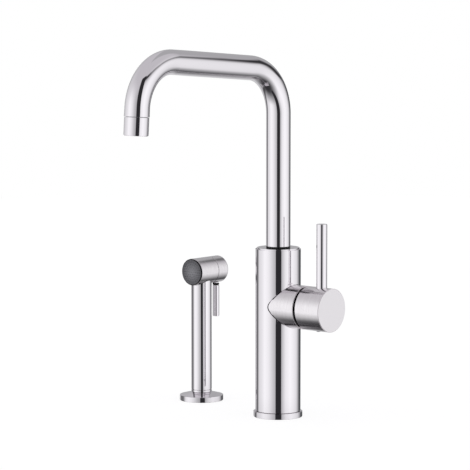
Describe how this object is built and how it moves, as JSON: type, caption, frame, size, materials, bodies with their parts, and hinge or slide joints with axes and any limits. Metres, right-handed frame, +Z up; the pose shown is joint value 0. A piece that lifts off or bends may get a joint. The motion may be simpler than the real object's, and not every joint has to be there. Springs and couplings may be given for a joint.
{
  "type": "side spray kitchen faucet",
  "caption": "Single-lever kitchen faucet with a tall square-bent tube spout on a cylindrical body, a side hub with an upright rod lever, and a separate trigger side spray.",
  "frame": {"origin": "centre of the body's foot on the deck", "axes": "+Z up along the column, the spout reaches to -Y over the sink, the lever's hub points to +X and the side spray stands at -X"},
  "size_m": [0.2374, 0.2995, 0.412],
  "materials": {
    "chrome": "polished",
    "turned_steel": "fine circular brushing",
    "brass": "machined",
    "steel": "machined",
    "cast_alloy": "cast",
    "black_plastic": "moulded",
    "grey_plastic": "moulded",
    "white_plastic": "moulded",
    "rubber": "plain"
  },
  "bodies": {
    "fixed": {"base_ring": "chrome", "base_gasket": "rubber", "mounting_plug": "brass", "body_shell": "chrome", "waterway_block": "brass", "hub_sleeve": "turned_steel", "cartridge_shell": "white_plastic", "cartridge_nut": "brass", "diverter_spring": "steel", "spray_flange": "chrome", "flange_gasket": "rubber", "holder_liner": "black_plastic"},
    "spout": {"spout_tube": "chrome", "spout_shank": "brass", "glide_ring": "black_plastic", "snap_ring": "steel", "shank_seal_1": "rubber", "shank_seal_2": "rubber", "outlet_bush": "brass", "aerator_sleeve": "chrome", "aerator_gasket": "rubber", "aerator_insert": "white_plastic", "aerator_screen": "steel"},
    "diverter": {"diverter_piston": "white_plastic"},
    "lever_carrier": {"pivot_ring": "black_plastic", "tilt_pin": "steel"},
    "lever": {"handle_cap": "turned_steel", "handle_adapter": "cast_alloy", "lever_rod": "chrome", "set_screw": "steel"},
    "spool": {"cartridge_spool": "steel", "spool_seal": "rubber"},
    "hose_connector": {"hose_end": "chrome"},
    "handset": {"swivel_bush": "black_plastic", "handle_tube": "chrome", "head_shell": "turned_steel", "head_rear_cap": "turned_steel", "head_core": "grey_plastic", "spray_face": "grey_plastic", "face_seal": "rubber", "trigger_pivot_pin": "steel"},
    "trigger": {"trigger_rod": "chrome", "trigger_boot": "rubber"},
    "plunger": {"valve_plunger": "brass"}
  },
  "joints": [
    {"name": "spout_swivel", "type": "hinge", "parent": "fixed", "child": "spout", "pos_m": [0, 0, 0.188], "axis": [0, 0, 1], "continuous": true},
    {"name": "diverter_slide", "type": "slide", "parent": "fixed", "child": "diverter", "axis": [0, 0, -1], "range_m": [0, 0.003], "stiffness_N_per_m": 150, "springref_m": -0.001, "deforming": ["diverter_spring"]},
    {"name": "lever_turn", "type": "hinge", "parent": "fixed", "child": "lever_carrier", "pos_m": [0.0425, 0, 0.1244], "axis": [1, 0, 0], "range_deg": [-45, 45]},
    {"name": "lever_lift", "type": "hinge", "parent": "lever_carrier", "child": "lever", "pos_m": [0.0425, 0, 0.1054], "axis": [0, 1, 0], "range_deg": [0, 13]},
    {"name": "spool_pull", "type": "slide", "parent": "lever_carrier", "child": "spool", "axis": [1, 0, 0], "range_m": [0, 0.0047]},
    {"name": "handset_lift", "type": "slide", "parent": "fixed", "child": "hose_connector", "axis": [0, 0, 1], "range_m": [0, 0.15]},
    {"name": "handset_turn", "type": "hinge", "parent": "hose_connector", "child": "handset", "pos_m": [-0.1365, 0.0266, 0.0123], "axis": [0, 0, 1], "continuous": true},
    {"name": "trigger_squeeze", "type": "hinge", "parent": "handset", "child": "trigger", "pos_m": [-0.1365, 0.0518, 0.1563], "axis": [-1, 0, 0], "range_deg": [0, 7], "stiffness_Nm_per_rad": 0.6, "springref_deg": -5.73},
    {"name": "plunger_push", "type": "slide", "parent": "handset", "child": "plunger", "axis": [0, -1, 0], "range_m": [0, 0.001]}
  ],
  "couplings": [
    {"joint": "spool_pull", "follows": "lever_lift", "m_per_rad": 0.0203},
    {"joint": "plunger_push", "follows": "trigger_squeeze", "m_per_rad": 0.008}
  ]
}
